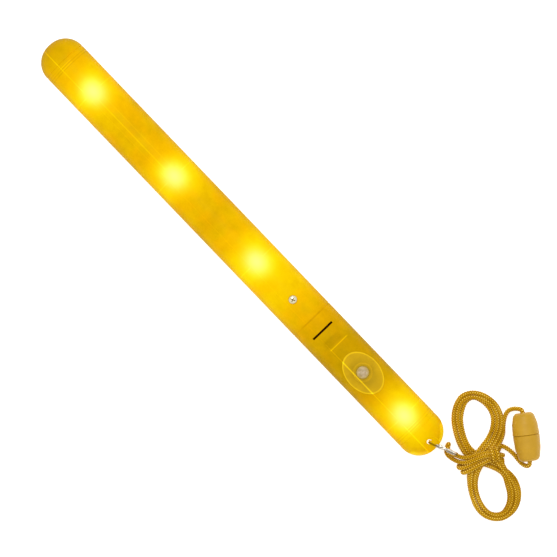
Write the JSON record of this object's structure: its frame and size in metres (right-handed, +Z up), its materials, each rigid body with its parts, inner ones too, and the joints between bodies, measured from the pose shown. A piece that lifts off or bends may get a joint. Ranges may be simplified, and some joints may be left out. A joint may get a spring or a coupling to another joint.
{
  "type": "traffic baton light",
  "caption": "Handheld traffic baton light: a lit amber tube with domed screw caps, an oval push switch, and a split ring carrying a braided lanyard tied in a figure eight with a safety clasp.",
  "frame": {"origin": "on the floor under the middle of the baton, which lies on its side with the button on top", "axes": "+X along the baton to the lanyard end, +Z up through the button, +Y to the side the hank lies on"},
  "size_m": [0.3842, 0.0694, 0.0289],
  "materials": {
    "shell_amber": "satin translucent amber, lit from inside",
    "cap_amber": "satin translucent amber",
    "membrane": "matt translucent amber skin",
    "button": "pale translucent, satin",
    "bright_metal": "bright plated",
    "ring_steel": "bright plated",
    "seal": "matt black",
    "cord": "round braid, golden tan",
    "clasp_plastic": "moulded, fine satin",
    "circuit_board": "solder mask",
    "lamp": "clear yellow lamp",
    "frame_white": "moulded white",
    "cell_can": "printed sleeve with no text",
    "contact_steel": "plated spring steel",
    "wire_red": "insulated wire",
    "wire_black": "insulated wire",
    "black_plastic": "moulded black",
    "resistor_body": "lacquered, banded"
  },
  "bodies": {
    "baton": {"shell_tube": "shell_amber", "button_membrane": "membrane", "body_screw": "bright_metal", "light_board": "circuit_board", "switch_board": "circuit_board", "light_frame_front": "frame_white", "light_frame_rear": "frame_white", "battery_tray": "frame_white", "battery_left": "cell_can", "battery_right": "cell_can", "contact_bridge": "contact_steel", "contact_positive": "contact_steel", "contact_negative": "contact_steel", "spring_left": "contact_steel", "spring_right": "contact_steel", "wire_positive": "wire_red", "wire_negative": "wire_black", "tact_switch": "black_plastic", "driver_chip": "black_plastic", "resistor_front": "resistor_body", "resistor_rear": "resistor_body", "led_upper_1": "lamp", "led_upper_2": "lamp", "led_upper_3": "lamp", "led_upper_4": "lamp", "led_lower_1": "lamp", "led_lower_2": "lamp", "led_lower_3": "lamp", "led_lower_4": "lamp"},
    "free_seal": {"o_ring_free_end": "seal"},
    "free_cap": {"cap_free_end": "cap_amber"},
    "lanyard_seal": {"o_ring_lanyard_end": "seal"},
    "lanyard_cap": {"cap_lanyard_end": "cap_amber"},
    "push_button": {"button": "button"},
    "switch_plunger": {"tact_actuator": "black_plastic"},
    "lanyard": {"split_ring": "ring_steel", "cord_bight": "cord", "cord_hank": "cord", "cord_tail_lower": "cord", "clasp_plug": "clasp_plastic"},
    "clasp_pull": {"clasp_socket": "clasp_plastic", "cord_tail_upper": "cord"}
  },
  "joints": [
    {"name": "free_cap_travel", "type": "slide", "parent": "baton", "child": "free_seal", "axis": [-1, 0, 0], "range_m": [0, 0.00451]},
    {"name": "free_cap_turn", "type": "hinge", "parent": "free_seal", "child": "free_cap", "pos_m": [-0.1493, 0, 0.014], "axis": [-1, 0, 0], "range_deg": [0, 1080]},
    {"name": "lanyard_cap_travel", "type": "slide", "parent": "baton", "child": "lanyard_seal", "axis": [1, 0, 0], "range_m": [0, 0.00451]},
    {"name": "lanyard_cap_turn", "type": "hinge", "parent": "lanyard_seal", "child": "lanyard_cap", "pos_m": [0.1473, 0, 0.014], "axis": [1, 0, 0], "range_deg": [0, 1080]},
    {"name": "button_press", "type": "slide", "parent": "baton", "child": "push_button", "axis": [0, 0, -1], "range_m": [0, 0.0005], "stiffness_N_per_m": 2000, "springref_m": -0.0005},
    {"name": "plunger_press", "type": "slide", "parent": "baton", "child": "switch_plunger", "axis": [0, 0, -1], "range_m": [0, 0.0005]},
    {"name": "lanyard_swing", "type": "hinge", "parent": "lanyard_cap", "child": "lanyard", "pos_m": [0.1574, 0, 0.014], "axis": [0, 0, 1], "range_deg": [-60, 30]},
    {"name": "clasp_release", "type": "slide", "parent": "lanyard", "child": "clasp_pull", "axis": [-0.8097, 0.5869, 0], "range_m": [0, 0.008]}
  ],
  "couplings": [
    {"joint": "free_cap_travel", "follows": "free_cap_turn", "m_per_rad": 0.00023873},
    {"joint": "lanyard_cap_travel", "follows": "lanyard_cap_turn", "m_per_rad": 0.00023873},
    {"joint": "plunger_press", "follows": "button_press", "ratio": 1}
  ]
}
